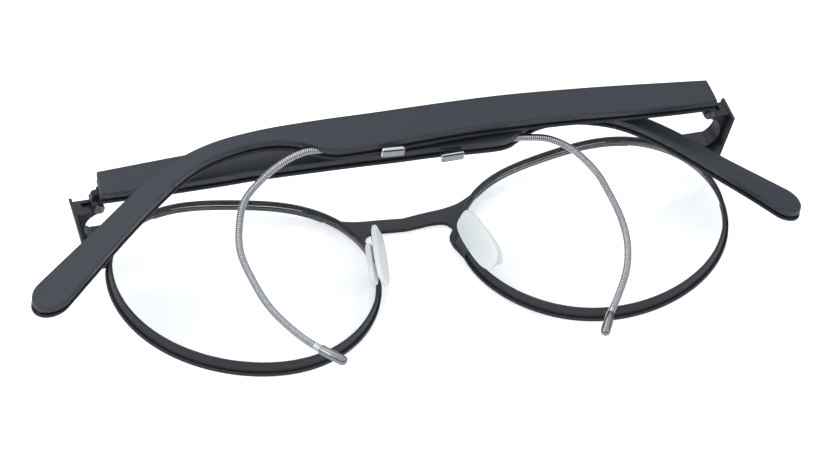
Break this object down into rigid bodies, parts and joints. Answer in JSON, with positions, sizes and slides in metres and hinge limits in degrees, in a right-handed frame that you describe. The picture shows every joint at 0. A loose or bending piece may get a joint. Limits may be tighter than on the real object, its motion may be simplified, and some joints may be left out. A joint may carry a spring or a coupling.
{
  "type": "eyeglass frame",
  "caption": "Round thin-rimmed metal eyeglass frame with clear lenses, slip-on nose pads and flat folding temples that hold sliding wire ear hooks.",
  "frame": {"origin": "the middle of the bridge on its front face, where the frame rests when it lies on its front", "axes": "+Z from the front to the wearer, +Y to the brow, +X to the wearer's right; the temples are folded and the ear hooks pulled out"},
  "size_m": [0.1481, 0.056, 0.0281],
  "materials": {
    "front_paint": "matt dark grey, fine satin",
    "rim_paint": "matt dark grey",
    "lens": "clear, polished",
    "pad_silicone": "milky translucent silicone",
    "hinge_metal": "matt dark grey",
    "screw_steel": "bright, slotted",
    "temple_shell": "matt near-black, soft sheen",
    "temple_plate": "matt near-black",
    "slider_chrome": "polished",
    "hook_wire": "fine close windings",
    "ferrule_chrome": "polished"
  },
  "bodies": {
    "front": {"front_frame": "front_paint", "eyewire_right": "rim_paint", "eyewire_left": "rim_paint", "lens_right": "lens", "lens_left": "lens", "pad_tab_right": "front_paint", "pad_tab_left": "front_paint", "nose_pad_right": "pad_silicone", "nose_pad_left": "pad_silicone", "hinge_block_right": "hinge_metal", "hinge_block_left": "hinge_metal", "hinge_screw_right": "screw_steel", "hinge_screw_left": "screw_steel"},
    "temple_right": {"temple_cover_right": "temple_shell", "temple_plate_right": "temple_plate", "temple_hinge_right": "hinge_metal", "hook_wire_right": "hook_wire", "hook_ferrule_right": "ferrule_chrome"},
    "temple_left": {"temple_cover_left": "temple_shell", "temple_plate_left": "temple_plate", "temple_hinge_left": "hinge_metal", "hook_wire_left": "hook_wire", "hook_ferrule_left": "ferrule_chrome"},
    "hook_right": {"hook_slider_right": "slider_chrome"},
    "hook_left": {"hook_slider_left": "slider_chrome"}
  },
  "joints": [
    {"name": "right_temple_fold", "type": "hinge", "parent": "front", "child": "temple_right", "pos_m": [0.0592, 0, 0.0172], "axis": [0, 1, 0], "range_deg": [0, 88]},
    {"name": "left_temple_fold", "type": "hinge", "parent": "front", "child": "temple_left", "pos_m": [-0.0592, 0, 0.0172], "axis": [0, -1, 0], "range_deg": [0, 0.2]},
    {"name": "right_hook_slide", "type": "slide", "parent": "temple_right", "child": "hook_right", "axis": [0.9966, 0.0273, -0.0776], "range_m": [0, 0.055], "deforming": ["hook_wire_right", "hook_ferrule_right"]},
    {"name": "left_hook_slide", "type": "slide", "parent": "temple_left", "child": "hook_left", "axis": [-0.9996, 0.0273, 0], "range_m": [0, 0.055], "deforming": ["hook_wire_left", "hook_ferrule_left"]}
  ]
}
